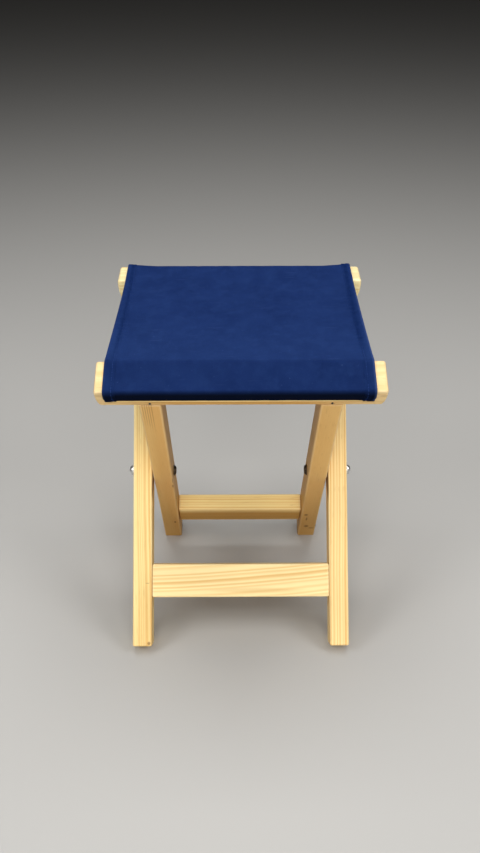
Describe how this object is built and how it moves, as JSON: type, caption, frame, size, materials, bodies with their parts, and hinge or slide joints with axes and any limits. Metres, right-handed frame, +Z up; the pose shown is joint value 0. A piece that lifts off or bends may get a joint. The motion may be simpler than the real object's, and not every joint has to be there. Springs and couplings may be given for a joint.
{
  "type": "folding stool",
  "caption": "Low folding stool: crossed pine leg frames on riveted pivots, tied by stretchers, carry seat rails with a navy canvas sling between them.",
  "frame": {"origin": "on the floor under the middle of the stool's outer box, with the stool open", "axes": "+X to the right in the picture, -Y towards the viewer and the front rail, +Z up"},
  "size_m": [0.312, 0.3094, 0.407],
  "materials": {
    "pine": "planed and clear varnished, satin",
    "canvas": "plain woven cotton canvas, matt",
    "rivet_steel": "polished",
    "washer_steel": "darkened",
    "screw_zinc": "zinc plated",
    "nail_steel": "bright drawn, dulled",
    "spacer_nylon": "natural nylon",
    "dowel_beech": "raw"
  },
  "bodies": {
    "outer_frame": {"outer_leg_left": "pine", "outer_leg_right": "pine", "front_stretcher": "pine", "rear_seat_rail": "pine", "rear_canvas_spline": "pine", "canvas_seat": "canvas", "pivot_rivet_left": "rivet_steel", "pivot_rivet_right": "rivet_steel", "pivot_washer_left": "washer_steel", "pivot_washer_right": "washer_steel", "pivot_spacer_left": "spacer_nylon", "pivot_spacer_right": "spacer_nylon", "rail_screw_rear_left": "screw_zinc", "rail_screw_rear_right": "screw_zinc", "front_dowel_upper_left": "dowel_beech", "front_dowel_lower_left": "dowel_beech", "front_dowel_upper_right": "dowel_beech", "front_dowel_lower_right": "dowel_beech"},
    "inner_frame": {"inner_leg_left": "pine", "inner_leg_right": "pine", "rear_stretcher": "pine", "front_seat_rail": "pine", "front_canvas_spline": "pine", "rail_screw_front_left": "screw_zinc", "rail_screw_front_right": "screw_zinc", "toe_nail_left": "nail_steel", "toe_nail_right": "nail_steel", "rear_dowel_upper_left": "dowel_beech", "rear_dowel_lower_left": "dowel_beech", "rear_dowel_upper_right": "dowel_beech", "rear_dowel_lower_right": "dowel_beech"}
  },
  "joints": [
    {"name": "leg_fold", "type": "hinge", "parent": "outer_frame", "child": "inner_frame", "pos_m": [0, -0.00021, 0.18647], "axis": [-1, 0, 0], "range_deg": [0, 54], "deforming": ["canvas_seat"]}
  ]
}
